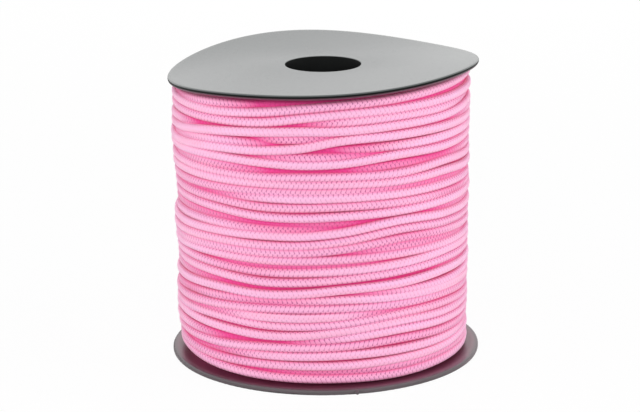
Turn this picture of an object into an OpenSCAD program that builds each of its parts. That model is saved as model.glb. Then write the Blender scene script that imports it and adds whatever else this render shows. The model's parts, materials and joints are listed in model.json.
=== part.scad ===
// Cord spool: two thin moulded flanges on a core tube, wound full of braided cord.
// Frame: the lower flange's outer face lies on z = 0, the spool's axis is Z.
// Each flange carries a collar, which is half of the bore, and a spigot, which the core tube is pressed on.
// The cord starts at a knot inside the core tube. Its inner layers are one plain solid, and its outer layer
// is a single helical tube whose two ends dive under the layer.

/* [Flanges] */
// Diameter of each flange
flange_d = 80; // [70:1:110]
// Thickness of each flange
flange_t = 1.3; // [1:0.1:2.4]
// Radius on both edges of a flange's rim
rim_round = 0.45; // [0.1:0.05:0.8]
// Clear width between the flanges
traverse_w = 72.8; // [50:0.2:90]
// Diameter of the gate nib left on each rim by the mould
nib_d = 0.9; // [0.6:0.1:0.9]
// How far the gate nib stands out of the rim
nib_out = 0.7; // [0.2:0.1:1.2]

/* [Bore and hub] */
// Diameter of the bore for a spindle
bore_d = 19.4; // [12:0.1:20.4]
// Wall of the collar round the bore
collar_wall = 1.5; // [1:0.1:2.2]
// Gap between the two collars where they meet at mid height
collar_gap = 0.2; // [0.1:0.1:1]
// Wall of the spigot that holds the core tube
spigot_wall = 1.4; // [1:0.1:2]
// Length of each spigot
spigot_len = 8; // [4:0.5:11]
// Play of a spigot in the core tube, on the radius
spigot_play = 0.05; // [0.05:0.01:0.2]
// Ribs between collar and spigot, on each flange
rib_count = 6; // [3:1:10]
// Thickness of a rib
rib_t = 1.2; // [0.8:0.1:2]
// How far the ribs stop short of the spigot's end
rib_drop = 1; // [0.4:0.1:2.5]

/* [Core tube] */
// Clear width between collar and core tube, with room for the ribs and the knot
hub_space = 5.2; // [4.4:0.1:9]
// Wall of the core tube
core_wall = 1.6; // [1.2:0.1:2.4]
// Height of the anchor hole above the lower flange's inner face
anchor_height = 16; // [14:1:30]
// Play of the cord in the anchor hole, on the radius
anchor_play = 0.25; // [0.1:0.05:0.4]

/* [Cord] */
// Diameter of the cord
cord_d = 2.1; // [1.6:0.1:2.6]
// Play of the knot between collar and core tube, on each side
knot_play = 0.4; // [0.2:0.05:0.6]
// Flange rim left bare beyond the winding, at the lower flange
bare_rim_low = 2.5; // [1:0.1:6]
// Flange rim left bare beyond the winding, at the upper flange
bare_rim_high = 1.4; // [0.8:0.1:6]
// Least space between neighbouring turns of the outer layer
turn_gap = 0.8; // [0.5:0.1:3]
// Space between an end turn and its flange
end_gap = 0.15; // [0.1:0.05:1]
// Radius of the bend where an end dives under the layer
tuck_bend_r = 3.2; // [2.8:0.1:5]
// Play round an end in the notch that it dives into
tuck_play = 0.3; // [0.2:0.05:0.8]
// Space between the plain solids of the cord and what they lie on
lay_gap = 0.05; // [0.05:0.05:0.2]

/* [Hidden] */

plastic = "#211d21";
cord_pink = "#f59bc4";
round_fn = 120;

// Radii and heights
flange_r = flange_d / 2;
bore_r = bore_d / 2;
collar_r = bore_r + collar_wall;
core_inner_r = collar_r + hub_space;
core_r = core_inner_r + core_wall;
spigot_r = core_inner_r - spigot_play;
spigot_inner_r = spigot_r - spigot_wall;
edge_r = min(rim_round, flange_t / 2 - 0.05);
low_face = flange_t;
high_face = flange_t + traverse_w;
overall_h = traverse_w + 2 * flange_t;
collar_len = (overall_h - collar_gap) / 2;
// Where each flange's gate nib points
lower_nib_angle = -79;
upper_nib_angle = 100;

// The knotted start of the cord
anchor_z = low_face + anchor_height;
anchor_r = cord_d / 2 + anchor_play;
anchor_angle = 200;
knot_r = hub_space / 2 - knot_play;
// The knot sits on the rim of the anchor hole, inside the core tube
knot_x = sqrt(pow(core_inner_r, 2) - pow(anchor_r, 2)) - sqrt(pow(knot_r, 2) - pow(anchor_r, 2));
// The stem ends where its rim meets the inner layers
stem_end_x = sqrt(pow(core_r, 2) - pow(cord_d / 2, 2));

// The outer layer: one tube of 6 sides, 24 rings to a turn, with a bend and a straight run at each end
max_turns = 24;
rings_per_turn = 24;
tube_sides = 6;
bend_steps = 5;
start_angle = 90;
cord_r = cord_d / 2;
first_z = low_face + end_gap + cord_r;
last_z = high_face - end_gap - cord_r;
turns = min(max_turns, floor((last_z - first_z) / (cord_d + turn_gap)));
pitch = (last_z - first_z) / turns;

// Radius of the winding's outside at height z, and of the tube's centre line there
function winding_r(z) =
    flange_r - bare_rim_low + (bare_rim_low - bare_rim_high) * (z - low_face) / traverse_w;
function line_r(z) = winding_r(z) - cord_r;
// Radius of the inner layers' outside at height z, just clear of the middle of a ring to ring step
function bed_r(z) = (line_r(z) - cord_r * cos(180 / tube_sides)) * cos(180 / rings_per_turn) - lay_gap;

// A point of the centre line after t turns
function helix_point(t) =
    let (z = first_z + pitch * t, a = start_angle + 360 * t)
    [line_r(z) * cos(a), line_r(z) * sin(a), z];

// A point of a dive, at depth under the line's radius and run along the tangent, which side (-1 or 1) points
function dive_point(z, side, run, depth) =
    let (x = line_r(z) - depth, y = side * run)
    [x * cos(start_angle) - y * sin(start_angle), x * sin(start_angle) + y * cos(start_angle), z];

// The bend of an end, then its straight run of one diameter, square to the notch's floor
function dive(z, side) = [
    for (i = [1 : bend_steps])
        let (a = 90 * i / bend_steps)
        dive_point(z, side, tuck_bend_r * sin(a), tuck_bend_r * (1 - cos(a))),
    dive_point(z, side, tuck_bend_r, tuck_bend_r + cord_d)
];

function reversed(list) = [for (i = [len(list) - 1 : -1 : 0]) list[i]];

// The whole centre line, from the lower end to the upper one
line_points = concat(
    reversed(dive(first_z, -1)),
    [for (i = [0 : turns * rings_per_turn]) helix_point(i / rings_per_turn)],
    dive(last_z, 1)
);

// The direction of the line at point i. Each end runs straight, square to its notch's floor.
function unit(v) = v / norm(v);
function direction(i) =
    i == 0 ? unit(line_points[1] - line_points[0])
    : i == len(line_points) - 1 ? unit(line_points[i] - line_points[i - 1])
    : unit(unit(line_points[i + 1] - line_points[i]) + unit(line_points[i] - line_points[i - 1]));

// The ring of the tube at point i, with a flat side towards the spool's axis
function ring(i) =
    let (ahead = direction(i), out = unit(cross(ahead, [0, 0, 1])), up = cross(out, ahead))
    [for (k = [0 : tube_sides - 1])
        let (a = 360 * (k + 0.5) / tube_sides)
        line_points[i] + cord_r * (cos(a) * out + sin(a) * up)];

// Least space of the tube to itself, measured between centre line points at least a third of a turn apart
apart = rings_per_turn / 3;
least_gap = min([
    for (i = [0 : len(line_points) - 1 - apart])
        min([for (j = [i + apart : min(len(line_points) - 1, i + 4 * apart)])
            norm(line_points[i] - line_points[j])])
]) - cord_d;
echo(outer_layer_turns = turns, outer_layer_least_gap_mm = least_gap);

// The outline of a flange's disc, with rounded rim edges
module disc_outline() {
    translate([bore_r, 0]) square([flange_r - edge_r - bore_r, flange_t]);
    translate([bore_r, edge_r]) square([flange_r - bore_r, flange_t - 2 * edge_r]);
    for (z = [edge_r, flange_t - edge_r])
        translate([flange_r - edge_r, z]) circle(r = edge_r, $fn = 32);
}

// One rib, from inside the collar's wall to inside the spigot's
module rib() {
    from_r = collar_r - collar_wall / 2;
    to_r = spigot_inner_r + spigot_wall / 2;
    translate([from_r, -rib_t / 2, flange_t / 2])
        cube([to_r - from_r, rib_t, flange_t / 2 + spigot_len - rib_drop]);
}

// One flange moulding, with its outer face on z = 0 and its hub upwards
module flange_moulding(nib_angle) {
    rotate_extrude($fn = round_fn) {
        disc_outline();
        translate([bore_r, 0]) square([collar_wall, collar_len]);
        translate([spigot_inner_r, 0]) square([spigot_wall, flange_t + spigot_len]);
    }
    for (i = [0 : rib_count - 1])
        rotate([0, 0, 360 * (i + 0.5) / rib_count]) rib();
    rotate([0, 0, nib_angle]) translate([flange_r - nib_d, 0, flange_t / 2])
        rotate([0, 90, 0]) cylinder(d = nib_d, h = nib_d + nib_out, $fn = 32);
}

// The notch in the inner layers where an end dives under. Its floor is square to the end.
module tuck_notch(z, side) {
    depth_x = line_r(z) - tuck_bend_r - cord_d;
    width = tuck_bend_r + cord_r + tuck_play;
    bottom = side < 0 ? low_face - 1 : z - cord_r - tuck_play;
    top = side < 0 ? z + cord_r + tuck_play : high_face + 1;
    rotate([0, 0, start_angle])
        translate([depth_x, side < 0 ? -width : 0, bottom])
            cube([flange_r - depth_x, width, top - bottom]);
}

module lower_flange() {
    color(plastic) flange_moulding(lower_nib_angle);
}

module upper_flange() {
    color(plastic) translate([0, 0, overall_h]) mirror([0, 0, 1]) flange_moulding(upper_nib_angle);
}

module core_tube() {
    color(plastic) difference() {
        translate([0, 0, low_face]) cylinder(r = core_r, h = traverse_w, $fn = round_fn);
        translate([0, 0, low_face - 1]) cylinder(r = core_inner_r, h = traverse_w + 2, $fn = round_fn);
        rotate([0, 0, anchor_angle]) translate([0, 0, anchor_z])
            rotate([0, 90, 0]) cylinder(r = anchor_r, h = core_r + 1, $fn = 48);
    }
}

module cord_start() {
    color(cord_pink) rotate([0, 0, anchor_angle]) translate([knot_x, 0, anchor_z]) {
        sphere(r = knot_r, $fn = 48);
        rotate([0, 90, 0]) cylinder(r = cord_r, h = stem_end_x - knot_x, $fn = 32);
    }
}

module cord_inner_layers() {
    color(cord_pink) difference() {
        translate([0, 0, low_face])
            cylinder(r1 = bed_r(low_face), r2 = bed_r(high_face), h = traverse_w, $fn = round_fn);
        translate([0, 0, low_face - 1]) cylinder(r = core_r + lay_gap, h = traverse_w + 2, $fn = round_fn);
        tuck_notch(first_z, -1);
        tuck_notch(last_z, 1);
    }
}

module cord_outer_layer() {
    rings = [for (i = [0 : len(line_points) - 1]) ring(i)];
    last = len(rings) - 1;
    sides = [
        for (i = [0 : last - 1], k = [0 : tube_sides - 1])
            let (
                a = i * tube_sides + k,
                b = i * tube_sides + (k + 1) % tube_sides,
                c = b + tube_sides,
                d = a + tube_sides
            )
            each [[a, b, c], [a, c, d]]
    ];
    start_cap = [for (k = [1 : tube_sides - 2]) [0, k + 1, k]];
    end_cap = [for (k = [1 : tube_sides - 2]) [0, k, k + 1] + last * tube_sides * [1, 1, 1]];
    color(cord_pink)
        polyhedron(points = [for (r = rings) each r], faces = concat(sides, start_cap, end_cap));
}

lower_flange();
upper_flange();
core_tube();
cord_start();
cord_inner_layers();
cord_outer_layer();
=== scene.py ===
# %% [markdown]
# # A spool of braided cord
#
# This lesson dresses a measured model of a cord spool: two thin black plastic flanges and a thick
# wind of pink braided cord. The measured parts come first, as a fixed frame, and each piece made
# here sits where the frame says. All lengths are in metres, so a millimetre is written as MM.

# %% Load the measured parts
import json
import math
from functools import partial
import bpy
import numpy as np
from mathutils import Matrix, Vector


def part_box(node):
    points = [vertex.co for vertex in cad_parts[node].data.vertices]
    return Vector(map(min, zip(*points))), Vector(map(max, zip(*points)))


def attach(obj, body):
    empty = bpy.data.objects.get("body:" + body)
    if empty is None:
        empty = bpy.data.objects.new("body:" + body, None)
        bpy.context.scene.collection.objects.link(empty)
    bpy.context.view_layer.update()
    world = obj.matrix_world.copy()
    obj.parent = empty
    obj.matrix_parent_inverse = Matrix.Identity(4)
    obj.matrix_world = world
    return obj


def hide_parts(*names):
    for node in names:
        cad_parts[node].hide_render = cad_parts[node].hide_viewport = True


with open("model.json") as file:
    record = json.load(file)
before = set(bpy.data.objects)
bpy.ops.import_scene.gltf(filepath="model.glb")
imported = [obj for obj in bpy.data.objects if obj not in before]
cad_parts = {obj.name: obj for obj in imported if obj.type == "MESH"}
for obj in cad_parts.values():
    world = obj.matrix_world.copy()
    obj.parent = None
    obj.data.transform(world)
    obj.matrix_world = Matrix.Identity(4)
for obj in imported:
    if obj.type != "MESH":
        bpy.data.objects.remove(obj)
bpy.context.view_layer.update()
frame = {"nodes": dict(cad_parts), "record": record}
MM = 0.001
print("measured nodes:", sorted(frame["nodes"]))

# %% [markdown]
# ## Sizes that the pieces share
#
# Most sizes are read off the measured parts, so that a new piece can't drift away from the part it
# stands for. The wind was laid a little to one side of its hub, as a hand-fed machine leaves it.

# %% Sizes of the spool
LOWEST, HIGHEST = 0, 1  # corners of a box
X, Z = 0, 2             # axes

def side_of(node, corner, axis):
    """One side of a measured part's box, to a hundredth of a millimetre."""
    return round(float(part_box(node)[corner][axis]) / MM, 2) * MM

spindle_bore = next(m for m in frame["record"]["mounts"] if m["name"] == "spindle_bore")
FLANGE_R = side_of("lower_flange", HIGHEST, X)    # outer radius of a flange
UPPER_R = FLANGE_R - 0.3 * MM                     # the upper one, a little drawn in by its bow
LOW_FACE = side_of("core_tube", LOWEST, Z)        # inner face of the lower flange
HIGH_FACE = side_of("core_tube", HIGHEST, Z)      # inner face of the upper flange
TOP_FACE = side_of("upper_flange", HIGHEST, Z)    # outer face of the upper flange
COLLAR_END = side_of("upper_flange", LOWEST, Z)   # lower end of the upper flange's collar
CORE_R = side_of("core_tube", HIGHEST, X)         # outside of the winding tube
BORE_R = spindle_bore["dims"]["r_mm"] * MM        # spindle hole
COLLAR_R = BORE_R + 1.5 * MM                      # outside of the collar round that hole
WIND_SIDE = -0.60 * MM                            # how far the wind sits off the spindle, along X
print("spool height and flange across, mm:", round(TOP_FACE / MM, 1), round(2 * FLANGE_R / MM, 1))

# %% [markdown]
# ## The camera
#
# The object is seen from the front and a little above, from about 0.63 m away through a long lens,
# which keeps the rims of both flanges almost the same width.

# %% Place the camera
IMAGE_WIDE = 640.0    # pixels
BESIDE_MIDDLE = -4.4  # pixels that the view is shifted to one side

def place_camera(distance, rise, aim_height, lens, roll):
    """A camera in front of the object, `rise` degrees above the level, aimed at its axis."""
    data = bpy.data.cameras.new("view_camera")
    data.sensor_width, data.lens, data.shift_x = 36.0, lens, BESIDE_MIDDLE / IMAGE_WIDE
    cam = bpy.data.objects.new("view_camera", data)
    bpy.context.scene.collection.objects.link(cam)
    bpy.context.scene.camera = cam
    up = math.radians(rise)
    cam.location = (0.0, -distance * math.cos(up), aim_height + distance * math.sin(up))
    cam.rotation_euler = (math.radians(90.0 - rise), 0.0, 0.0)
    cam.rotation_euler.rotate_axis("Z", math.radians(roll))
    print("camera at", [round(v, 4) for v in cam.location])

place_camera(distance=0.6298, rise=15.30, aim_height=37.78 * MM, lens=136.66, roll=-0.55)

# %% [markdown]
# ## Light and background
#
# The world is plain white wherever the camera or a reflection looks at it, which is what a glossy
# black flange needs in order to show its gloss. For soft light it is turned down, and four large
# lamps do the modelling, hidden from reflections. The world, the floor and the materials are all
# built from nodes, so a few helpers add and feed them.

# %% Helpers for nodes
def feed(tree, node, inputs):
    """Fills inputs of a node with plain values or with outputs of other nodes."""
    for slot, value in inputs.items():
        if isinstance(value, bpy.types.NodeSocket):
            tree.links.new(value, node.inputs[slot])
        else:
            node.inputs[slot].default_value = value

def add_node(tree, kind, inputs=(), **settings):
    """Adds a shader node, sets it up and feeds it."""
    node = tree.nodes.new("ShaderNode" + kind)
    for name, value in settings.items():
        setattr(node, name, value)
    feed(tree, node, dict(inputs))
    return node

def math_node(tree, op, *values, clamp=False):
    """Does a sum with numbers or with the outputs of other nodes."""
    return add_node(tree, "Math", enumerate(values), operation=op, use_clamp=clamp).outputs[0]

print("node helpers are ready")

# %% Make the room white
WHITE = (1.0, 1.0, 1.0, 1.0)
SOFT_WHITE = (1.0, 0.985, 0.99, 1.0)

def white_room(soft_level):
    """White for the camera and in reflections, and `soft_level` times white as soft light."""
    world = bpy.data.worlds.new("white_room")
    world.use_nodes = True
    tree = world.node_tree
    tree.nodes.clear()
    path = add_node(tree, "LightPath").outputs
    seen_rays = math_node(tree, "MAXIMUM", path["Is Camera Ray"], path["Is Glossy Ray"])
    seen_rays = math_node(tree, "MAXIMUM", seen_rays, path["Is Transmission Ray"])
    soft = add_node(tree, "Background", {"Color": SOFT_WHITE, "Strength": soft_level})
    seen = add_node(tree, "Background", {"Color": WHITE, "Strength": 1.0})
    pick = add_node(tree, "MixShader", {0: seen_rays, 1: soft.outputs[0], 2: seen.outputs[0]})
    add_node(tree, "OutputWorld", {0: pick.outputs[0]})
    bpy.context.scene.world = world
    print("world:", world.name)

white_room(soft_level=0.38)

# %% Hang the lamps
LAMPS_AIM_AT = (0.0, 0.0, 0.038)

def soft_lamp(name, place, width, height, watts):
    """A large flat lamp that lights the object but isn't seen in its gloss."""
    data = bpy.data.lights.new(name, "AREA")
    data.shape, data.size, data.size_y, data.energy = "RECTANGLE", width, height, watts
    lamp = bpy.data.objects.new(name, data)
    bpy.context.scene.collection.objects.link(lamp)
    lamp.location = place
    way = np.array(LAMPS_AIM_AT) - np.array(place)
    level = math.hypot(way[0], way[1])
    lamp.rotation_euler = (math.atan2(level, -way[2]), 0.0, math.atan2(-way[0], way[1]))
    lamp.visible_glossy = False
    return lamp

lamps = [
    soft_lamp("lamp_above_front", (-0.08, -0.62, 0.36), 0.55, 0.45, 2.0),
    soft_lamp("lamp_left", (-0.62, -0.18, 0.22), 0.40, 0.55, 1.9),
    soft_lamp("lamp_behind", (0.05, 0.66, 0.30), 0.50, 0.45, 1.8),
    soft_lamp("lamp_right", (0.62, -0.14, 0.22), 0.40, 0.55, 2.5),
]
print("lamps:", [lamp.name for lamp in lamps])

# %% [markdown]
# ## The floor
#
# The floor is a plain white sheet. To the camera it glows white by itself, with a small share of
# ordinary matt white mixed in, which lets the object's shadow show faintly.

# %% Lay the floor
def studio_white(shadow_share):
    """White to the camera, with `shadow_share` of a matt white that shows shadows."""
    mat = bpy.data.materials.new("studio_white")
    mat.use_nodes = True
    tree = mat.node_tree
    tree.nodes.clear()
    seen = add_node(tree, "LightPath").outputs["Is Camera Ray"]
    share = math_node(tree, "MULTIPLY", seen, 1.0 - shadow_share)
    matt = add_node(tree, "BsdfDiffuse", {"Color": (0.86, 0.86, 0.86, 1.0)})
    glow = add_node(tree, "Emission", {"Color": WHITE, "Strength": 1.0})
    pick = add_node(tree, "MixShader", {0: share, 1: matt.outputs[0], 2: glow.outputs[0]})
    add_node(tree, "OutputMaterial", {0: pick.outputs[0]})
    return mat

def studio_floor(size):
    """A square white sheet at the height that the spool stands on."""
    mesh = bpy.data.meshes.new("studio_floor")
    h = size / 2
    mesh.from_pydata([(-h, -h, 0), (h, -h, 0), (h, h, 0), (-h, h, 0)], [], [(0, 1, 2, 3)])
    mesh.materials.append(studio_white(shadow_share=0.04))
    sheet = bpy.data.objects.new("studio_floor", mesh)
    bpy.context.scene.collection.objects.link(sheet)
    print("floor metres across:", size)

studio_floor(6.0)

# %% [markdown]
# ## How the cord is plaited
#
# The cord is a hollow braid of eight yarns: four run one way round it and four the other, and each
# passes over two and under two. Two slanting coordinates describe that exactly. One counts the
# yarns of the first set, the other those of the second; their whole parts say which yarns meet at a
# point, and the sum of the two, modulo four, says which of them lies on top. Everything else is the
# rounding of a yarn, the dip at each end of its float and the open pit at each of its four corners.
#
# The coordinates come from a UV map that runs along and around each tube of cord, so the plait
# follows every bend and has no seam.

# %% The plait as a node group
CARRIERS_EACH_WAY = 4
LAY_LENGTH = 4.8 * MM  # one yarn goes once round the cord in this length
YARN_STRANDS = 8.0     # fine ridges across one yarn

def plait_group():
    """Turns a place on the cord into its height, pits and the strands of a yarn."""
    tree = bpy.data.node_groups.new("two_over_two_plait", "ShaderNodeTree")
    tree.interface.new_socket("Place", in_out="INPUT", socket_type="NodeSocketVector")
    for name in ("Height", "Pit", "Filaments"):
        tree.interface.new_socket(name, in_out="OUTPUT", socket_type="NodeSocketFloat")
    given, out = tree.nodes.new("NodeGroupInput"), tree.nodes.new("NodeGroupOutput")
    along, around = add_node(tree, "SeparateXYZ", {0: given.outputs[0]}).outputs[:2]

    m = partial(math_node, tree)
    # Which yarn of each set is here, and how far across it
    first, second = m("ADD", around, along), m("SUBTRACT", around, along)
    first_count, second_count = m("FLOOR", first), m("FLOOR", second)
    first_across, second_across = m("SUBTRACT", first, first_count), m("SUBTRACT", second, second_count)
    # Which of the two lies on top
    meet = m("FLOORED_MODULO", m("ADD", first_count, second_count), 4.0)
    first_up = m("LESS_THAN", meet, 1.5)

    def of_upper(if_first, if_second):
        return m("ADD", m("MULTIPLY", first_up, if_first),
                 m("MULTIPLY", m("SUBTRACT", 1.0, first_up), if_second))

    # Where on the upper yarn this is: across it, and along its float, both from 0 to 1
    across = of_upper(first_across, second_across)
    along_second = m("SUBTRACT", m("ADD", meet, first_across), 2.0)
    travel = m("MULTIPLY", of_upper(m("ADD", meet, second_across), along_second), 0.5)
    edge = m("ABSOLUTE", m("SUBTRACT", m("MULTIPLY", across, 2.0), 1.0))
    near_end = m("ABSOLUTE", m("SUBTRACT", m("MULTIPLY", travel, 2.0), 1.0))
    # A rounded yarn that dives at both ends of its float, and the pit where four floats meet
    round_yarn = m("SQRT", m("SUBTRACT", 1.02, m("MULTIPLY", edge, edge), clamp=True))
    arch = m("POWER", m("SINE", m("MULTIPLY", travel, math.pi)), 0.8)
    corner = m("MULTIPLY_ADD", near_end, 0.90, m("MULTIPLY", edge, 1.05))
    feed(tree, out, {
        "Height": m("MULTIPLY", round_yarn, m("MULTIPLY_ADD", arch, 0.8, 0.2)),
        "Pit": m("MULTIPLY", m("SUBTRACT", corner, 1.31), 4.5, clamp=True),
        "Filaments": m("SINE", m("MULTIPLY", across, 2.0 * math.pi * YARN_STRANDS)),
    })
    return tree

plait = plait_group()
print("plait group nodes:", len(plait.nodes))

# %% [markdown]
# ## Helpers for materials
#
# Every finish below is a Principled shader with a few nodes in front of it. These helpers keep each
# recipe short: they mix colours, map ranges, add clouds, read stored values and raise a relief.

# %% Helpers for materials
def new_material(name):
    """Returns a new material, its node tree and its shader."""
    mat = bpy.data.materials.new(name)
    mat.use_nodes = True
    return mat, mat.node_tree, mat.node_tree.nodes["Principled BSDF"]

def mix_colour(tree, share, first, second, blend="MIX"):
    first, second = (c + (1.0,) if isinstance(c, tuple) else c for c in (first, second))
    inputs = {0: share, 6: first, 7: second}
    return add_node(tree, "Mix", inputs, data_type="RGBA", blend_type=blend).outputs[2]

def map_range(tree, value, first, last, low, high, kind="LINEAR"):
    """`low` up to `first`, `high` from `last` on, and a ramp between them."""
    inputs = enumerate((value, first, last, low, high))
    return add_node(tree, "MapRange", inputs, interpolation_type=kind).outputs[0]

def scaled(tree, vector, factors):
    return add_node(tree, "VectorMath", {0: vector, 1: factors}, operation="MULTIPLY").outputs[0]

def cloud(tree, where, scale, detail=2.0, rough=0.5):
    inputs = {"Vector": where, "Scale": scale, "Detail": detail, "Roughness": rough}
    return add_node(tree, "TexNoise", inputs).outputs["Fac"]

def stored(tree, name):
    """A value that the mesh stores at each of its points."""
    return add_node(tree, "Attribute", attribute_name=name).outputs["Fac"]

def relief(tree, height, distance):
    """Shades the surface as if `height` stood `distance` metres out of it."""
    inputs = {"Strength": 1.0, "Distance": distance, "Height": height}
    return add_node(tree, "Bump", inputs).outputs[0]

print("material helpers are ready")

# %% [markdown]
# ## The cord's finish
#
# The cord is pink polyester, a soft and slightly silky fibre. Light that bounces between two turns
# loses blue and green each time, so grooves are a much deeper pink than crowns. Bounces alone don't
# carry that far enough, so the mesh stores at each point how deep it lies below the wind's skin, and
# the colour deepens with it: that is painted shade in the grooves. The crowns drift between two pale
# pinks, as the dye is a touch uneven.
#
# The pits of the plait are painted a darker mauve, which is painted shade in the holes between the
# yarns, and they fade on the most stretched crowns and again in the grooves. Next to the upper
# flange the cord lies in shade, so its colour is taken down there.

# %% Make the cord material
PALE_CROWN = (0.98, 0.48, 0.68)
COOL_CROWN = (0.94, 0.51, 0.75)
GROOVE_PAINTED_SHADE = (0.80, 0.060, 0.29)
PIT_PAINTED_SHADE = (0.48, 0.19, 0.37)
SHADE_TINT = (0.50, 0.28, 0.36)

def braided_cord(name, yarn_relief):
    """Pink plaited polyester. It reads the plait's UV map and two stored depths."""
    mat, tree, shader = new_material(name)
    m = partial(math_node, tree)
    place = add_node(tree, "UVMap", uv_map="plait_run").outputs[0]
    braid = add_node(tree, "Group", {0: place}, node_tree=plait).outputs
    dye = cloud(tree, scaled(tree, place, (0.05, 0.4, 1.0)), 1.0)
    depth = m("SUBTRACT", stored(tree, "below_skin"), 0.15)
    depth = m("MULTIPLY_ADD", dye, 0.3, depth)

    cooler = m("MULTIPLY_ADD", dye, 3.0, -1.0, clamp=True)
    crown = mix_colour(tree, cooler, PALE_CROWN, COOL_CROWN)
    # painted shade: the colour turns to a deep groove pink the further below the wind's skin a point lies
    body = mix_colour(tree, map_range(tree, depth, 0.04, 1.00, 0.0, 1.0), crown, GROOVE_PAINTED_SHADE)
    by_flange = map_range(tree, stored(tree, "below_flange"), 0.4, 1.6, 0.85, 0.0)
    body = mix_colour(tree, by_flange, body, mix_colour(tree, 1.0, body, SHADE_TINT, "MULTIPLY"))
    off_crown = map_range(tree, depth, 0.02, 0.30, 0.36, 1.0)
    off_groove = map_range(tree, depth, 0.50, 1.00, 1.0, 0.30)
    pits = m("MULTIPLY", braid["Pit"], m("MULTIPLY", off_crown, off_groove))
    # painted shade in the pits of the plait, darker mauve where the yarns leave a hole
    colour = mix_colour(tree, pits, body, mix_colour(tree, 1.0, body, PIT_PAINTED_SHADE, "MULTIPLY"))

    height = m("MULTIPLY_ADD", braid["Filaments"], 0.05, braid["Height"])
    feed(tree, shader, {
        "Base Color": colour, "Normal": relief(tree, height, yarn_relief),
        "Roughness": 0.62, "Specular IOR Level": 0.25,
        "Sheen Weight": 0.55, "Sheen Roughness": 0.45, "Sheen Tint": (1.0, 0.86, 0.93, 1.0),
    })
    return mat

cord_finish = braided_cord("braided_cord_pink", yarn_relief=0.09 * MM)
print("cord finish:", cord_finish.name, "with", len(cord_finish.node_tree.nodes), "nodes")

# %% [markdown]
# ## The black plastic
#
# The flanges are thin moulded polystyrene. Black plastic is mostly reflection: seen at a low angle
# it mirrors the white room and turns a soft grey, seen straight on it is black. A clear coat gives
# the second reflection of a polished mould, and a very low bump the unevenness of a thin disc.
#
# One recipe makes four finishes. The upper flange's top is full gloss, its cut edge and the wall of
# its hole are matt, and its underside is duller and painted burgundy, a painted reflection of the
# cord. The lower flange is scuffed from standing on tables, its tone is lifted to a mauve grey that is
# painted reflection, and its inner face has a painted burgundy reflection of the cord, with painted
# shade darker still next to the cord.

# %% The painted reflection and shade next to the cord
# painted reflection of the pink cord, and a darker ring of painted shade right next to it
PAINTED_REFLECTION_SHADE_RINGS = (  # tone, full up to this radius, gone from this one on
    ((0.200, 0.092, 0.122), 38.1 * MM, FLANGE_R),
    ((0.135, 0.034, 0.062), 37.7 * MM, 39.1 * MM),
)

def painted_cord_reflection_and_shade(tree, place, body):
    """Adds the painted rings of cord reflection and shade to the inner face of the lower flange, outside
    the winding tube.
    """
    m = partial(math_node, tree)
    level = scaled(tree, place, (1.0, 1.0, 0.0))
    radius = add_node(tree, "VectorMath", {0: level}, operation="LENGTH").outputs["Value"]
    height = add_node(tree, "SeparateXYZ", {0: place}).outputs["Z"]
    inner_face = m("GREATER_THAN", height, 0.5 * LOW_FACE)
    outside_tube = m("GREATER_THAN", radius, CORE_R)
    here = m("MULTIPLY", inner_face, outside_tube)
    for tone, full, gone in PAINTED_REFLECTION_SHADE_RINGS:
        ring = map_range(tree, radius, full, gone, 1.0, 0.0, kind="SMOOTHSTEP")
        body = mix_colour(tree, m("MULTIPLY", ring, here), body, tone)
    return body

print("stain rings:", len(PAINTED_REFLECTION_SHADE_RINGS))

# %% Make the flange materials
def moulded_plastic(name, tone, shine, haze, wave=0.05 * MM, swirl=0.0, painted_cord_light=False):
    """Black plastic. `shine` runs from 0, matt, to 1, gloss, and `haze` blurs its reflections."""
    mat, tree, shader = new_material(name)
    m = partial(math_node, tree)
    place = add_node(tree, "TexCoord").outputs["Object"]
    broad = cloud(tree, place, 34.0)
    fine = cloud(tree, place, 900.0, 3.0, 0.6)
    body = mix_colour(tree, broad, tone, tuple(c * 1.5 + 0.002 for c in tone))
    if painted_cord_light:
        body = painted_cord_reflection_and_shade(tree, place, body)
    feed(tree, shader, {
        "Base Color": body, "Roughness": m("MULTIPLY_ADD", fine, 0.08, haze + 0.08),
        "Normal": relief(tree, m("MULTIPLY_ADD", fine, swirl, broad), wave),
        "Specular IOR Level": 0.05 + 0.95 * shine, "Specular Tint": (0.88, 1.0, 0.97, 1.0),
        "IOR": 1.58, "Coat Weight": 0.60 * shine, "Coat Roughness": haze,
    })
    return mat

gloss_finish = moulded_plastic("moulded_black_gloss", (0.010, 0.011, 0.012), 1.0, 0.14, swirl=0.02)
# lower flange: rougher from scuffs, and its lighter mauve tone is painted reflection of the floor and the
# cord
scuffed_and_reflection_finish = moulded_plastic("moulded_black_scuffed_painted_reflection", (0.061, 0.047, 0.052), 0.55, 0.25, painted_cord_light=True)
# upper flange's underside: its burgundy tone is a painted reflection of the cord below it
under_painted_reflection_finish = moulded_plastic("moulded_black_under_painted_reflection", (0.075, 0.020, 0.036), 0.30, 0.25)
edge_finish = moulded_plastic("moulded_black_matt", (0.004, 0.004, 0.004), 0.03, 0.30,
                              wave=0.04 * MM, swirl=0.10)
print("flange finishes:", [f.name for f in (gloss_finish, scuffed_and_reflection_finish, under_painted_reflection_finish, edge_finish)])

# %% [markdown]
# ## The winding tube's finish
#
# The tube is the same plastic, but nobody polishes what the cord will cover: it is matt and grainy.

# %% Make the winding tube's material
def matt_grain(name):
    """Matt dark plastic with a fine, uneven grain."""
    mat, tree, shader = new_material(name)
    grain = cloud(tree, add_node(tree, "TexCoord").outputs["Object"], 700.0, 4.0, 0.65)
    tone = mix_colour(tree, grain, (0.040, 0.040, 0.043), (0.075, 0.074, 0.078))
    normal = relief(tree, grain, 0.05 * MM)
    feed(tree, shader, {"Base Color": tone, "Normal": normal, "Roughness": 0.7})
    return mat

tube_finish = matt_grain("winding_tube_matt")
print("tube finish:", tube_finish.name)

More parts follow.
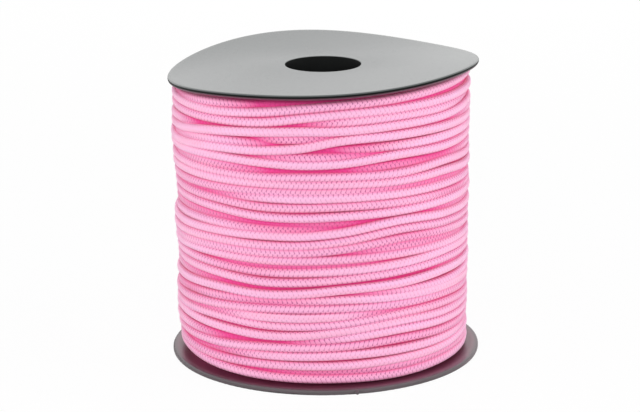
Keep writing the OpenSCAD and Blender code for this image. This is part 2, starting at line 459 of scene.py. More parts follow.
# %% [markdown]
# ## The bowed upper flange
#
# A full wind pushes its flange about. This one has sprung out of flat by about two millimetres: it
# dips at the left, and lifts at the front right and at the back. A few waves round the rim describe
# such a bow, and it fades to nothing at the stiff hub. The wind under it follows the same bow.

# %% The bow of the upper flange
BOW_WAVES = (  # lobes round the rim, mm of its cosine, mm of its sine
    (0, 0.25, 0.0), (1, 1.37, -0.24), (2, -0.63, -0.71), (3, 0.53, -0.46),
)

def bow(angle, radius):
    """How far the upper flange is lifted at an angle and a radius."""
    rim = sum(c * np.cos(lobes * angle) + s * np.sin(lobes * angle) for lobes, c, s in BOW_WAVES) * MM
    share = np.clip((radius - COLLAR_R) / (FLANGE_R - COLLAR_R), 0.0, 1.0)
    return rim * share ** 1.5

rim_lift = bow(np.radians(np.arange(0, 360, 5)), FLANGE_R) / MM
print("the rim is lifted by mm, least and most:", np.round([rim_lift.min(), rim_lift.max()], 2))

# %% [markdown]
# ## Making the upper flange
#
# The flange is a turned shape with a few extras: six ribs inside its hub and the nib where the
# plastic came into the mould. One section is turned into clean rings of faces, the ribs and the nib
# are added, and then the whole mesh is lifted by the bow at once.

# %% Helpers that make meshes
def mesh_piece(name, points, faces, material):
    """A smooth-shaded mesh object from points and faces."""
    mesh = bpy.data.meshes.new(name)
    mesh.from_pydata([tuple(map(float, p)) for p in points], [], faces)
    mesh.update()
    mesh.polygons.foreach_set("use_smooth", [True] * len(mesh.polygons))
    piece = bpy.data.objects.new(name, mesh)
    bpy.context.scene.collection.objects.link(piece)
    mesh.materials.append(material)
    return piece

def sheet_grid(rings, sides, closed=False):
    """The ring and the side that each face of a sheet of rings starts at."""
    r, s = np.meshgrid(np.arange(rings if closed else rings - 1), np.arange(sides), indexing="ij")
    return r.ravel(), s.ravel()

def sheet_faces(rings, sides, closed=False):
    """Faces between rings of points. `closed` joins the last ring to the first."""
    r, s = sheet_grid(rings, sides, closed)
    q, n = (r + 1) % rings, (s + 1) % sides
    return np.stack([r * sides + s, r * sides + n, q * sides + n, q * sides + s], 1).tolist()

def capped_faces(rings, sides):
    """Faces of a tube that is closed at both ends."""
    caps = [list(range(sides - 1, -1, -1)), list(range((rings - 1) * sides, rings * sides))]
    return sheet_faces(rings, sides) + caps

def turned(profile, steps):
    """Turns a closed profile of (radius, height) round the spindle. Returns points and faces."""
    turn = np.radians(np.arange(steps) * 360.0 / steps)[:, None]
    radius, height = np.array(profile).T
    points = np.stack([radius * np.cos(turn), radius * np.sin(turn), np.tile(height, (steps, 1))], -1)
    outward = [[a, d, c, b] for a, b, c, d in sheet_faces(steps, len(profile), closed=True)]
    return points.reshape(-1, 3), outward

def at_angle(angle, reach, side, height):
    """A point `reach` out from the spindle and `side` across, seen along `angle`."""
    c, s = math.cos(angle), math.sin(angle)
    return (reach * c - side * s, reach * s + side * c, height)

def joined(*parts):
    """Joins pairs of points and faces into one pair."""
    points, faces = [], []
    for more_points, more_faces in parts:
        first = len(points)
        points += [tuple(p) for p in more_points]
        faces += [[first + corner for corner in face] for face in more_faces]
    return np.array(points), faces

print("faces of a closed tube with 3 rings of 12 sides:", len(capped_faces(3, 12)))

# %% The section of the upper flange
SPIGOT_OUT, SPIGOT_IN = 16.35 * MM, 14.95 * MM
SPIGOT_END = HIGH_FACE - 8.0 * MM
FLAT_TO = FLANGE_R - 1.6 * MM  # the flat of the disc ends here, and its rim begins
UNDER_CORNER, TOP_CORNER = 0.75 * MM, 0.40 * MM

def rounded(corner, middle, start):
    """A quarter round at the rim, from `start` degrees on, as (radius, height) points."""
    return [(UPPER_R - corner + corner * math.cos(turn), middle + corner * math.sin(turn))
            for turn in np.radians(np.linspace(start, start + 90, 6))]

def flange_section():
    """The outline of half the upper flange, cut through the spindle, as (radius, height) points."""
    under = [(r, HIGH_FACE) for r in np.linspace(SPIGOT_OUT, FLAT_TO, 16)]
    rim = (rounded(UNDER_CORNER, HIGH_FACE + UNDER_CORNER, -90)
           + rounded(TOP_CORNER, TOP_FACE - TOP_CORNER, 0))
    top = [(r, TOP_FACE) for r in np.linspace(FLAT_TO, BORE_R + 0.5 * MM, 20)]
    bore_lip = [(BORE_R + 0.20 * MM, TOP_FACE), (BORE_R + 0.06 * MM, TOP_FACE - 0.06 * MM),
                (BORE_R, TOP_FACE - 0.20 * MM)]
    collar = [(BORE_R, COLLAR_END), (COLLAR_R, COLLAR_END), (COLLAR_R, HIGH_FACE)]
    spigot = [(SPIGOT_IN, HIGH_FACE), (SPIGOT_IN, SPIGOT_END), (SPIGOT_OUT, SPIGOT_END)]
    return under + rim + top + bore_lip + collar + spigot

print("points in the section:", len(flange_section()))

# %% The ribs and the nib
RIBS = 6
RIB_FROM, RIB_TO, RIB_HALF = 10.5 * MM, 15.6 * MM, 0.6 * MM
NIB_AT = math.radians(100)
NIB_SIDES = 12
NIB_ROWS = ((-0.9, 0.45), (0.45, 0.45), (0.64, 0.36), (0.7, 0.2))  # mm past the rim, mm of radius

def rib_boxes():
    """Upright ribs that tie the collar to the spigot, each a box with six faces."""
    points, faces = [], []
    corners = ((RIB_FROM, -RIB_HALF), (RIB_TO, -RIB_HALF), (RIB_TO, RIB_HALF), (RIB_FROM, RIB_HALF))
    for rib in range(RIBS):
        b = len(points)
        for z in (SPIGOT_END + 1.0 * MM, HIGH_FACE + 0.3 * MM):
            points += [at_angle(2 * math.pi * (rib + 0.5) / RIBS, r, side, z) for r, side in corners]
        faces += [(b, b + 3, b + 2, b + 1), (b + 4, b + 5, b + 6, b + 7)]
        faces += [(b + q, b + (q + 1) % 4, b + 4 + (q + 1) % 4, b + 4 + q) for q in range(4)]
    return points, faces

def moulding_nib():
    """The stub that is left where the plastic flowed into the mould, a short round peg."""
    points, middle = [], 0.5 * (HIGH_FACE + TOP_FACE)
    for reach, radius in NIB_ROWS:
        for t in 2 * math.pi * np.arange(NIB_SIDES) / NIB_SIDES:
            across, up = radius * MM * math.cos(t), radius * MM * math.sin(t)
            points.append(at_angle(NIB_AT, UPPER_R + reach * MM, across, middle + up))
    return points, capped_faces(len(NIB_ROWS), NIB_SIDES)

print("faces in the ribs:", len(rib_boxes()[1]), "and in the nib:", len(moulding_nib()[1]))

# %% Turn the upper flange
FLANGE_STEPS = 216
GLOSS_SLOT, EDGE_SLOT, UNDER_SLOT = 0, 1, 2

def finish_of(face):
    """The finish of a face of the upper flange, from where it is and which way it looks."""
    radius = math.hypot(face.center[0], face.center[1])
    if radius > CORE_R and face.normal.z <= -0.40:
        return UNDER_SLOT
    on_cut_edge = radius > UPPER_R - 0.30 * MM and face.normal.z < 0.35
    return EDGE_SLOT if on_cut_edge or radius < BORE_R + 0.10 * MM else GLOSS_SLOT

def upper_flange_piece(name):
    """The flange with its bow, its ribs, its nib and three finishes."""
    points, faces = joined(turned(flange_section(), FLANGE_STEPS), rib_boxes(), moulding_nib())
    points[:, 2] += bow(np.arctan2(points[:, 1], points[:, 0]), np.hypot(points[:, 0], points[:, 1]))
    piece = mesh_piece(name, points, faces, gloss_finish)
    piece.data.set_sharp_from_angle(angle=math.radians(38))
    for finish in (edge_finish, under_painted_reflection_finish):
        piece.data.materials.append(finish)
    for face in piece.data.polygons:
        face.material_index = finish_of(face)
    return piece

upper = upper_flange_piece("upper_flange_bowed")
print("upper flange faces:", len(upper.data.polygons))

# %% [markdown]
# ## How the cord lies on the spool
#
# The outside is made of two runs of cord. The turns of the first run lie on top. They leave gaps of
# uneven width, and the turns of the second run lie in these gaps: where a gap is wide the turn comes
# up level with its neighbours, where it is narrow they press it down, and where two top turns meet
# it dips right under them.
#
# A machine-laid wind is neither even nor random: a bunched turn pushes all the next ones up, and a
# few turns cross. So the heights are chosen one by one, at eight places round the front, and a
# smooth curve is drawn through them.

# %% Heights of the top turns, in millimetres
SEEN_AT = np.array([200, 225, 250, 262, 275, 300, 325, 345])  # degrees round the spool; 270 is the front
TOP_TURNS = np.array([
    [4.9, 4.2, 3.8, 3.7, 3.6, 3.3, 3.5, 3.7],
    [6.5, 6.5, 6.9, 7.0, 7.0, 7.1, 7.0, 7.4],
    [9.6, 10.3, 11.5, 11.7, 11.9, 12.3, 11.4, 11.0],
    [14.8, 14.7, 14.5, 14.9, 15.8, 16.9, 16.1, 15.6],
    [16.7, 17.4, 17.1, 17.3, 17.8, 18.9, 18.4, 17.5],
    [19.2, 20.4, 21.5, 21.8, 21.9, 21.5, 20.9, 19.9],
    [24.0, 25.1, 25.2, 25.8, 26.6, 26.9, 27.1, 26.7],
    [28.5, 28.7, 28.3, 28.7, 29.3, 29.9, 30.0, 29.5],
    [33.0, 33.8, 34.0, 34.2, 34.4, 34.5, 34.1, 33.6],
    [34.6, 35.6, 35.9, 36.2, 36.9, 38.3, 37.5, 36.5],
    [36.5, 37.5, 37.8, 38.1, 38.9, 40.7, 39.6, 38.8],
    [38.8, 39.7, 40.3, 40.5, 41.2, 43.0, 41.9, 41.2],
    [45.5, 45.6, 45.0, 45.1, 45.4, 45.5, 45.3, 44.9],
    [47.7, 47.9, 47.5, 47.7, 47.9, 47.7, 47.2, 46.7],
    [52.8, 53.2, 53.5, 53.5, 53.5, 53.0, 52.9, 51.8],
    [54.8, 55.0, 55.1, 55.4, 55.4, 55.1, 55.5, 54.6],
    [58.1, 58.9, 58.7, 58.5, 58.7, 59.8, 59.3, 59.2],
    [59.8, 61.1, 61.9, 62.7, 64.3, 64.7, 64.3, 63.8],
    [63.2, 65.2, 66.5, 66.9, 66.9, 67.2, 67.1, 67.4],
    [67.8, 68.1, 69.0, 70.1, 70.9, 71.3, 71.3, 71.3],
    [70.0, 70.2, 71.5, 72.4, 73.1, 73.8, 74.5, 74.9],
])
print("top turns:", len(TOP_TURNS))

# %% Heights of the turns between them
BETWEEN_TURNS = np.array([
    [5.7, 5.4, 5.5, 5.5, 5.5, 5.4, 5.4, 5.6],
    [7.8, 8.8, 9.3, 9.5, 9.7, 9.6, 9.2, 9.1],
    [12.0, 12.2, 13.0, 13.3, 14.0, 14.8, 13.9, 13.3],
    [18.0, 18.9, 19.3, 19.5, 19.8, 20.1, 19.7, 18.8],
    [21.5, 22.7, 23.5, 23.8, 24.1, 23.5, 22.8, 22.1],
    [23.2, 24.2, 24.6, 24.9, 25.3, 24.8, 24.2, 24.0],
    [26.4, 26.9, 26.8, 27.3, 28.0, 28.4, 28.6, 28.1],
    [30.8, 31.0, 30.9, 31.2, 31.5, 31.9, 32.2, 31.8],
    [32.1, 32.4, 32.6, 32.7, 32.9, 33.1, 33.1, 32.8],
    [34.0, 34.7, 35.1, 35.4, 35.9, 36.4, 35.8, 35.0],
    [41.2, 41.8, 41.9, 42.1, 42.5, 43.6, 43.2, 42.6],
    [43.4, 43.6, 43.4, 43.4, 43.6, 44.2, 43.7, 43.3],
    [49.2, 49.6, 49.9, 50.0, 50.1, 49.9, 49.5, 48.9],
    [50.3, 51.0, 51.5, 51.6, 51.6, 51.4, 51.0, 50.4],
    [56.5, 56.9, 56.7, 56.6, 56.8, 57.3, 57.1, 56.9],
    [59.1, 60.0, 60.2, 60.3, 60.4, 60.8, 60.8, 60.4],
    [61.6, 63.0, 63.4, 63.0, 62.3, 62.1, 61.9, 61.6],
    [65.4, 65.7, 64.7, 64.9, 65.5, 65.9, 65.9, 65.8],
    [67.0, 67.0, 67.8, 68.6, 69.0, 69.4, 69.3, 69.8],
    [69.0, 69.2, 70.3, 71.3, 72.0, 72.7, 72.9, 73.2],
    [71.4, 72.3, 73.3, 73.9, 74.2, 74.8, 75.0, 75.0],
])
print("turns between:", len(BETWEEN_TURNS))

# %% Places where a turn was dragged in deeper
BETWEEN_DIPS = (  # turn counted from 0, at degrees, degrees to each side, mm of pull
    (0, 245, 25, 0.2), (1, 215, 18, 0.5), (2, 238, 16, 1.9), (3, 228, 8, 0.6), (4, 205, 7, 0.9),
    (4, 250, 14, 0.6), (5, 228, 10, 0.6), (5, 285, 12, 0.6), (6, 232, 24, 1.0), (6, 283, 14, 0.8),
    (6, 307, 9, 1.1), (7, 238, 14, 0.4), (8, 213, 12, 0.9), (8, 260, 20, 0.3), (8, 308, 9, 0.7),
    (9, 258, 10, 0.5), (9, 315, 12, 0.7), (11, 245, 36, 1.1), (11, 295, 16, 0.6), (12, 222, 14, 1.2),
    (13, 320, 14, 1.0), (14, 262, 15, 1.0), (14, 232, 12, 0.3), (14, 316, 20, 1.1), (15, 232, 14, 0.6),
    (16, 263, 7, 1.0), (16, 286, 9, 0.7), (17, 232, 9, 0.9), (17, 320, 14, 0.5), (18, 262, 6, 1.0),
    (18, 222, 12, 0.9), (19, 338, 16, 2.0), (19, 203, 10, 0.9), (20, 267, 18, 3.0),
)
TOP_DIPS = ((13, 333, 9, 0.8), (0, 200, 12, 0.3), (9, 310, 10, 0.4), (2, 205, 12, 0.3))
print("dips:", len(BETWEEN_DIPS) + len(TOP_DIPS))

# %% [markdown]
# ## From heights to two long paths
#
# Each run is a single cord. It starts at the back of the spool and goes round by the left side, the
# front and the right side. At the back the top turns come in pairs, with a gap after each pair.

# %% Curves through chosen places
def smooth_through(x, y, at):
    """A smooth curve through points, with little overshoot (Catmull-Rom tangents)."""
    slope = np.gradient(y, x)
    i = np.clip(np.searchsorted(x, at, side="right") - 1, 0, len(x) - 2)
    h = x[i + 1] - x[i]
    t = (at - x[i]) / h
    return ((2 * t ** 3 - 3 * t ** 2 + 1) * y[i] + (t ** 3 - 2 * t ** 2 + t) * h * slope[i]
            + (-2 * t ** 3 + 3 * t ** 2) * y[i + 1] + (t ** 3 - t ** 2) * h * slope[i + 1])

def smooth_along(values, width):
    """Softens a row of values with a bell-shaped weight `width` places wide."""
    reach = int(3 * width)
    weight = np.exp(-0.5 * (np.arange(-reach, reach + 1) / width) ** 2)
    padded = np.concatenate([np.full(reach, values[0]), values, np.full(reach, values[-1])])
    return np.convolve(padded, weight / weight.sum(), "valid")

print("a sharp step, softened:", np.round(smooth_along(np.array([0.0, 0.0, 0.0, 1.0, 1.0, 1.0]), 1.0), 2))

# %% The height of a run all the way round
STEPS = 144                   # places in one turn
START_AT = 90.0               # degrees at which a turn starts, at the back
BEHIND = (60.0, 90.0, 120.0)  # degrees at which the back of each turn is set
UNEVEN_BEHIND = 0.18          # mm by which the turns stray there
SEEN_ABOVE = 0.4              # a crown looks this many mm higher than its cord's middle
turn_angle = np.radians(START_AT + 360.0 * np.arange(STEPS) / STEPS)

def path_heights(rows, start, behind, seed):
    """Heights along one run, from the back round the front to the back again."""
    rng = np.random.default_rng(seed)
    rise = (behind[-1] - behind[0]) / (len(behind) - 1) / 360.0
    x, y = [START_AT, 140.0], [start, 0.5 * (start + rows[0][0])]
    for turn, row in enumerate(rows):
        x += list(360.0 * turn + SEEN_AT)
        y += list(row - SEEN_ABOVE)
        if turn + 1 < len(rows):
            x += [360.0 * (turn + 1) + a for a in BEHIND]
            y += [behind[turn] + rise * (a - START_AT) + rng.normal(0.0, UNEVEN_BEHIND) for a in BEHIND]
    x += [360.0 * len(rows) + 40.0, 360.0 * len(rows) + 91.0]
    y += [rows[-1][-1], rows[-1][-1]]
    at = START_AT + 360.0 * np.arange(len(rows) * STEPS + 1) / STEPS
    return smooth_through(np.array(x), np.array(y), at) * MM

print("stray of a turn behind, mm:", UNEVEN_BEHIND)

# %% Keep the runs between the flanges
HALF_WIDE, HALF_THICK = 1.20 * MM, 0.95 * MM  # the cord, a little flattened under tension
OUT_OF_SQUARE = 0.17 * MM                     # the wind stands this much higher at its right side
FLANGE_PLAY = 0.05 * MM                       # between a flange and the cord next to it

def between_flanges(z):
    """Keeps a path clear of both flanges."""
    angle = np.radians(START_AT + 360.0 * np.arange(len(z)) / STEPS)
    z = z + OUT_OF_SQUARE * np.cos(angle)
    highest = HIGH_FACE + bow(angle, 37.0 * MM) - HALF_WIDE - FLANGE_PLAY
    return np.clip(z, LOW_FACE + HALF_WIDE + FLANGE_PLAY, highest)

print("a turn touches a flange from mm:", round((HALF_WIDE + FLANGE_PLAY) / MM, 2))

# %% Draw both paths
PAIRED = 0.45  # mm by which two top turns behind lean towards each other
top_behind = np.linspace(5.4, 70.6, len(TOP_TURNS) - 1)
top_behind[0::2] += PAIRED
top_behind[1::2] -= PAIRED
between_behind = np.append(0.5 * (top_behind[:-1] + top_behind[1:]), top_behind[-1] + 1.8)
top_z = between_flanges(path_heights(TOP_TURNS, 2.6, top_behind, seed=11))
between_z = between_flanges(path_heights(BETWEEN_TURNS, 4.0, between_behind, seed=23))
print("points on the top run:", len(top_z), "and on the run between:", len(between_z))

# %% [markdown]
# ## How far out each turn lies
#
# The outside of the wind is nearly a cylinder: a little wider at the top, with broad lumps at the
# left where turns cross further in. The crowns of the top turns follow it. A turn between them is
# pressed in by how near the next top turn is: with 2 mm between their middles both are still level,
# and with only 1 mm between them one lies right under the edge of the other.

# %% The outer skin of the wind
LUMPS = (  # at degrees, at height mm, degrees wide, mm tall, mm high
    (180, 12.0, 22, 2.4, 0.30), (180, 19.3, 24, 2.6, 0.45), (178, 36.3, 24, 2.5, 0.40),
    (182, 59.0, 28, 5.0, 0.45), (184, 44.0, 30, 4.0, -0.30), (182, 26.5, 26, 3.5, -0.30),
    (182, 5.0, 26, 3.0, -0.30), (355, 47.0, 30, 6.0, 0.20), (0, 66.0, 30, 5.0, 0.15),
    (75, 30.0, 35, 6.0, 0.30), (110, 55.0, 30, 5.0, 0.25), (60, 62.0, 30, 5.0, -0.25),
)

def taper(z, at_bottom, at_top):
    """Runs evenly from one value at the lower flange to another at the upper one."""
    return at_bottom + (at_top - at_bottom) * (z - LOW_FACE) / (HIGH_FACE - LOW_FACE)

def wind_skin(angle, z):
    """Radius of the wind's outside at an angle and a height."""
    skin = taper(z, 37.60 * MM, 38.12 * MM)
    for at, height, wide, tall, high in LUMPS:
        turn = (np.degrees(angle) - at + 180) % 360 - 180
        skin = skin + high * MM * np.exp(-0.5 * (turn / wide) ** 2 - 0.5 * ((z / MM - height) / tall) ** 2)
    return skin

half_way_up = wind_skin(turn_angle, 0.5 * (LOW_FACE + HIGH_FACE)) / MM
print("wind radius half way up, mm:", np.round([half_way_up.min(), half_way_up.max()], 2))

# %% Dips and squeezed turns
ROOM_ENOUGH, ROOM_FOR_NONE = 2.0 * MM, 1.05 * MM  # from a turn's middle to the nearest top turn's
PRESSED_IN = 1.1 * MM                             # how far a turn with no room is pressed in
CROSSES_AT, CROSSES_BY = 1.0 * MM, 0.8            # nearer than this it goes under, by this share more
GIVES_WAY = 0.55                                  # the share of a pull that the stiff cord follows

def dips(places, count):
    """Extra depth along a run, from a list of places."""
    deeper = np.zeros(count)
    turn = START_AT + 360.0 * np.arange(count) / STEPS
    for number, at, wide, pull in places:
        deeper += GIVES_WAY * pull * MM * np.exp(-0.5 * ((turn - 360.0 * number - at) / wide) ** 2)
    return deeper

def nearest_top_turn(z):
    """How far each point of a path lies from the nearest top turn at the same angle."""
    top = top_z[:-1].reshape(-1, STEPS)[:, np.arange(len(z)) % STEPS]
    return np.abs(top - z[None, :]).min(0)

def pressed_in(distance):
    """How far a turn is pressed in, with the nearest top turn at this distance."""
    squeeze = np.clip((ROOM_ENOUGH - distance) / (ROOM_ENOUGH - ROOM_FOR_NONE), 0.0, 1.0)
    eased = squeeze ** 2 * (3 - 2 * squeeze)
    return PRESSED_IN * eased + CROSSES_BY * np.clip(CROSSES_AT - distance, 0.0, None)

between_sunk = (smooth_along(pressed_in(nearest_top_turn(between_z)), 3.0)
                + dips(BETWEEN_DIPS, len(between_z)))
print("turns between are pressed in by mm:", round(float(between_sunk.mean() / MM), 2))

# %% Radius of both runs
UNEVEN_OUT = 0.10 * MM                   # how much a crown strays in and out
TUCK_STEPS, TUCK_DEPTH = 16.0, 3.4 * MM  # each end dives into the wind over so many steps

def path_radius(z, sunk, seed):
    """Radius of a path's centre line. Both ends are tucked into the wind."""
    rng = np.random.default_rng(seed)
    place = np.arange(len(z))
    uneven = smooth_along(rng.normal(0.0, 1.0, len(z)), 12.0)
    angle = np.radians(START_AT + 360.0 * place / STEPS)
    crown = wind_skin(angle, z) + UNEVEN_OUT * uneven / uneven.std()
    from_end = np.minimum(place, place[::-1]) / TUCK_STEPS
    tuck = TUCK_DEPTH * np.clip(1.0 - from_end, 0.0, 1.0) ** 2
    return smooth_along(crown - HALF_THICK - sunk - tuck, 2.0)

between_r = path_radius(between_z, between_sunk, seed=31)
top_r = path_radius(top_z, dips(TOP_DIPS, len(top_z)), seed=37)
for name, r in (("top", top_r), ("between", between_r)):
    print(name, "crowns, mean radius mm:", round(float((r + HALF_THICK).mean() / MM), 2))

# %% [markdown]
# ## Making the cord
#
# The plait needs exact coordinates along and around the cord, and the section is oval, flat side to
# the hub. So the cord is a tube built ring by ring, each ring square to the path. Two UV maps are
# written with it: one counts the yarns of the plait, the other packs the tube's surface into
# straight strips for baking. The tube is made in stretches of a few turns. They share their end
# rings, so no joint shows.

# %% Rings along a path
SQUARENESS = 0.92  # below 1, the oval section is fuller at its corners

def tube_rings(centre, outward, half_wide, half_thick, sides):
    """Oval rings along a path. `outward` points away from the hub at each place."""
    along = np.gradient(centre, axis=0)
    along /= np.linalg.norm(along, axis=1, keepdims=True)
    outward = outward - along * (outward * along).sum(1, keepdims=True)
    outward /= np.linalg.norm(outward, axis=1, keepdims=True)
    across = np.cross(along, outward)
    t = 2 * math.pi * np.arange(sides) / sides
    out_part, wide_part = (np.sign(v) * np.abs(v) ** SQUARENESS for v in (np.cos(t), np.sin(t)))
    return (centre[:, None] + half_thick * outward[:, None] * out_part[:, None]
            + half_wide * across[:, None] * wide_part[:, None])

print("the oval of the cord, mm:", round(2 * HALF_WIDE / MM, 2), "by", round(2 * HALF_THICK / MM, 2))

# %% Notes that the finish reads
def write_uvs(mesh, name, u, v):
    """Writes a UV map from u and v at each corner of each face."""
    layer = mesh.uv_layers.new(name=name)
    layer.data.foreach_set("uv", np.stack([u, v], -1).reshape(-1).astype(np.float32))

def corners(r, s):
    """The ring and the side of each corner of the faces that start at these."""
    return np.stack([r, r, r + 1, r + 1], 1), np.stack([s, s + 1, s + 1, s], 1)

def note_depth(mesh):
    """Stores how deep each point lies below the wind's skin and the upper flange, in mm."""
    at = np.empty(len(mesh.vertices) * 3)
    mesh.vertices.foreach_get("co", at)
    x, y, z = at.reshape(-1, 3).T
    x = x - WIND_SIDE
    angle = np.arctan2(y, x)
    below_skin = (wind_skin(angle, z) - np.hypot(x, y)) / MM
    below_flange = (HIGH_FACE + bow(angle, 37.0 * MM) - z) / MM
    for name, depth in (("below_skin", below_skin), ("below_flange", below_flange)):
        mesh.attributes.new(name, "FLOAT", "POINT").data.foreach_set("value", depth.astype(np.float32))

GIRTH = 2 * math.pi * math.sqrt((HALF_WIDE ** 2 + HALF_THICK ** 2) / 2)
STRIP_EDGE = 2.0 / 1024  # room round each strip, as a share of the whole map

def tube_uvs(mesh, rings, sides, length, twist):
    """Writes the plait's coordinates, and a second map of packed strips for baking."""
    r, s = sheet_grid(rings, sides)
    corner_r, corner_s = corners(r, s)
    strips = max(1, round(math.sqrt((length[-1] - length[0]) / GIRTH)))
    per = math.ceil((rings - 1) / strips)
    place = corner_r - (r // per * per)[:, None]
    low = (r // per / strips + STRIP_EDGE)[:, None]
    write_uvs(mesh, "OFBake", STRIP_EDGE + (1 - 2 * STRIP_EDGE) * place / per,
              low + (1.0 / strips - 2 * STRIP_EDGE) * corner_s / sides)
    write_uvs(mesh, "plait_run", CARRIERS_EACH_WAY * length[corner_r] / LAY_LENGTH,
              CARRIERS_EACH_WAY * (corner_s / sides + twist[corner_r]))

print("girth of the cord, mm:", round(GIRTH / MM, 2))

# %% Lay both runs of cord
CORD_SIDES = 14
SPREAD = 0.96  # neighbours press on each other, so each is only this share as wide

def cord_stretches(name, z, radius, phase, pieces):
    """Cuts a path into stretches and makes a tube of each. The plait turns slowly as it goes."""
    angle = np.radians(START_AT + 360.0 * np.arange(len(z)) / STEPS)
    centre = np.stack([radius * np.cos(angle) + WIND_SIDE, radius * np.sin(angle), z], 1)
    outward = np.stack([np.cos(angle), np.sin(angle), np.zeros(len(z))], 1)
    rings = tube_rings(centre, outward, SPREAD * HALF_WIDE, HALF_THICK, CORD_SIDES)
    length = np.concatenate([[0.0], np.cumsum(np.linalg.norm(np.diff(centre, axis=0), axis=1))])
    twist = 0.35 * np.sin(length / 0.31 + phase) + 0.22 * np.sin(length / 0.117 + 2.0)
    cuts = np.round(np.linspace(0, len(z) - 1, pieces + 1)).astype(int)
    made = []
    for number, (a, b) in enumerate(zip(cuts[:-1], cuts[1:])):
        count = b + 1 - a
        piece = mesh_piece(f"{name}_{number + 1:02d}", rings[a:b + 1].reshape(-1, 3),
                           sheet_faces(count, CORD_SIDES), cord_finish)
        tube_uvs(piece.data, count, CORD_SIDES, length[a:b + 1], twist[a:b + 1])
        note_depth(piece.data)
        made.append(piece)
    print(name, "in", pieces, "stretches,", round(length[-1], 2), "m of cord")
    return made

top_pieces = cord_stretches("top_turns", top_z, top_r, phase=1, pieces=9)
between_pieces = cord_stretches("between_turns", between_z, between_r, phase=2, pieces=8)

# %% [markdown]
# ## The deeper wind
#
# Under the two laid runs there is much more cord. It is one solid, from the winding tube out to the
# ridges of its outermost turns, so that a deep groove ends in cord and not in the dark.

# %% The ridges of the deeper wind
RIDGE_PITCH = 2.3 * MM  # from one buried turn to the next
RIDGE_DEPTH = 0.50 * MM
TUCKED_BY, TUCKED_OVER = 1.8 * MM, 2.4 * MM  # it draws in over this height at the lower flange

def ridged_core(angle, z):
    """The wind below the two laid runs: a cylinder with a ridge for each of its turns."""
    strays = 0.25 * np.sin(3 * angle + z / (9 * MM))
    wave = math.pi * (z / RIDGE_PITCH + angle / (2 * math.pi) + strays)
    groove = RIDGE_DEPTH * (1 - np.abs(np.sin(wave))) ** 2
    tucked = TUCKED_BY * np.exp(-(((z - LOW_FACE) / TUCKED_OVER) ** 4))
    return taper(z, 36.4 * MM, 36.9 * MM) - groove - tucked

print("ridges over the wind:", round((HIGH_FACE - LOW_FACE) / RIDGE_PITCH, 1))

# %% Make the solid wind
DEEP_ROWS = 240         # rows of faces up its side
DEEP_CLEAR = 0.03 * MM  # between the solid and a flange
BURIED_R = 34.5 * MM    # radius at which the buried plait keeps its true scale
BURIED_COARSER = 4.0    # its picks are drawn this much taller, as only slivers of it show

def deep_section():
    """Rings of (radius, height) from the winding tube along the bottom, up the side and back."""
    inner_r, low = CORE_R + 0.05 * MM, LOW_FACE + DEEP_CLEAR
    at_crest = HIGH_FACE + bow(turn_angle, 34.3 * MM) - DEEP_CLEAR
    rings = []
    for r in np.linspace(inner_r, 34.0 * MM, 5)[:-1]:
        rings.append(np.stack([np.full(STEPS, r), np.full(STEPS, low)], 1))
    for share in np.linspace(0, 1, DEEP_ROWS):
        z = low + share * (at_crest - low)
        rings.append(np.stack([ridged_core(turn_angle, z), z], 1))
    for r in np.linspace(34.0 * MM, inner_r, 5)[1:]:
        rings.append(np.stack([np.full(STEPS, r), HIGH_FACE + bow(turn_angle, r) - DEEP_CLEAR], 1))
    return np.array(rings)

def deep_wind(name):
    """One closed solid for all the buried cord."""
    section = deep_section()
    radius, height = section[..., 0], section[..., 1]
    shift = np.clip((radius - section[0, 0, 0]) / (10.0 * MM), 0, 1) * WIND_SIDE
    points = np.stack([radius * np.cos(turn_angle) + shift, radius * np.sin(turn_angle), height], -1)
    faces = sheet_faces(len(section), STEPS, closed=True)
    piece = mesh_piece(name, points.reshape(-1, 3), faces, cord_finish)
    ring, step = corners(*sheet_grid(len(section), STEPS, closed=True))
    run = CARRIERS_EACH_WAY * 2 * math.pi * BURIED_R / LAY_LENGTH
    up = CARRIERS_EACH_WAY * (HIGH_FACE - LOW_FACE) / (RIDGE_PITCH * DEEP_ROWS * BURIED_COARSER)
    write_uvs(piece.data, "plait_run", step * run / STEPS, ring * up)
    note_depth(piece.data)
    return piece

deep = deep_wind("deep_wind")
print("deep wind faces:", len(deep.data.polygons))

# %% [markdown]
# ## Where the cord starts
#
# Before winding, the end of the cord is poked through a hole in the winding tube and knotted inside
# it, so it cannot pull out. A trefoil curve is an overhand knot with its ends joined, so a formula
# of a few sines draws the knot. Its stem passes through the hole.

# %% Tie the starting knot
KNOT_AT = math.radians(200.0)  # where the hole is, round the tube
KNOT_HEIGHT, KNOT_R = 17.3 * MM, 14.57 * MM
STEM_TO = CORE_R - 0.03 * MM
KNOT_SIDES, KNOT_RINGS, STEM_RINGS = 10, 97, 9

def trefoil(t):
    """A trefoil, 6 across: an overhand knot with its ends joined."""
    reach = 2 + np.cos(3 * t)
    return np.stack([np.sin(3 * t), reach * np.sin(2 * t), reach * np.cos(2 * t)], 1)

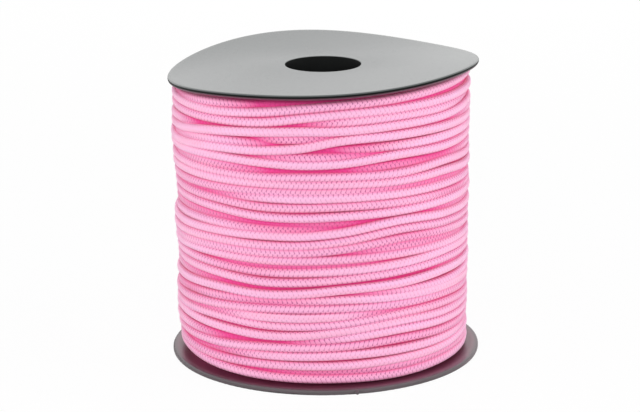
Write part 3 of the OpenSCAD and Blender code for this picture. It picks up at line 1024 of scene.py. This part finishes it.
def starting_knot(name):
    """The knot inside the winding tube and its stem."""
    sides = KNOT_SIDES
    loop = trefoil(np.linspace(0, 2 * math.pi, KNOT_RINGS)) * 0.42 * MM
    loop_rings = tube_rings(loop, loop + np.array([1e-6, 0, 0]), 0.78 * MM, 0.78 * MM, sides)
    stem = np.zeros((STEM_RINGS, 3))
    stem[:, 0] = np.linspace(0.2 * MM, STEM_TO - KNOT_R, STEM_RINGS)
    upward = np.array([[0.0, 0.0, 1.0]])
    stem_rings = tube_rings(stem, upward, 1.03 * MM, 1.03 * MM, sides)
    points, faces = joined((loop_rings.reshape(-1, 3), sheet_faces(KNOT_RINGS, sides)),
                           (stem_rings.reshape(-1, 3), capped_faces(STEM_RINGS, sides)))
    placed = [at_angle(KNOT_AT, x + KNOT_R, y, z + KNOT_HEIGHT) for x, y, z in points]
    piece = mesh_piece(name, placed, faces, cord_finish)
    caps = np.zeros(2 * sides)  # the two caps need no plait
    ring, side = corners(*np.divmod(np.arange(len(faces) - 2), sides))
    write_uvs(piece.data, "plait_run", np.append(ring * 0.25, caps),
              np.append(CARRIERS_EACH_WAY * side / sides, caps))
    return piece

knot = starting_knot("starting_knot")
print("knot faces:", len(knot.data.polygons))

# %% [markdown]
# ## Handing the pieces over
#
# Every new piece rides on the spool's one body, and the measured parts that they stand in for are
# hidden. The lower flange and the winding tube keep their measured shape.

# %% Give the measured parts their finish
for node, finish in (("lower_flange", scuffed_and_reflection_finish), ("core_tube", tube_finish)):
    part = frame["nodes"][node]
    for slot in part.material_slots:
        slot.material = finish
    print(node, "keeps its shape; finish:", finish.name)

# %% Attach the new pieces
laid_turns = [*top_pieces, *between_pieces]
for piece in [upper, *laid_turns, deep, knot]:
    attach(piece, "root")
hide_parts("upper_flange")
for piece in laid_turns:
    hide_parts("cord_outer_layer")
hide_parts("cord_inner_layers")
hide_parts("cord_start")
print("pieces attached:", 3 + len(laid_turns))

# %% [markdown]
# ## Last settings
#
# Colours are shown plainly, without a film look. Light goes to and fro many times in a groove, so
# it gets more bounces than usual.

# %% Show colours plainly and allow more bounces
scene = bpy.context.scene
scene.view_settings.view_transform = "Standard"
scene.cycles.diffuse_bounces = 16
scene.cycles.max_bounces = 20
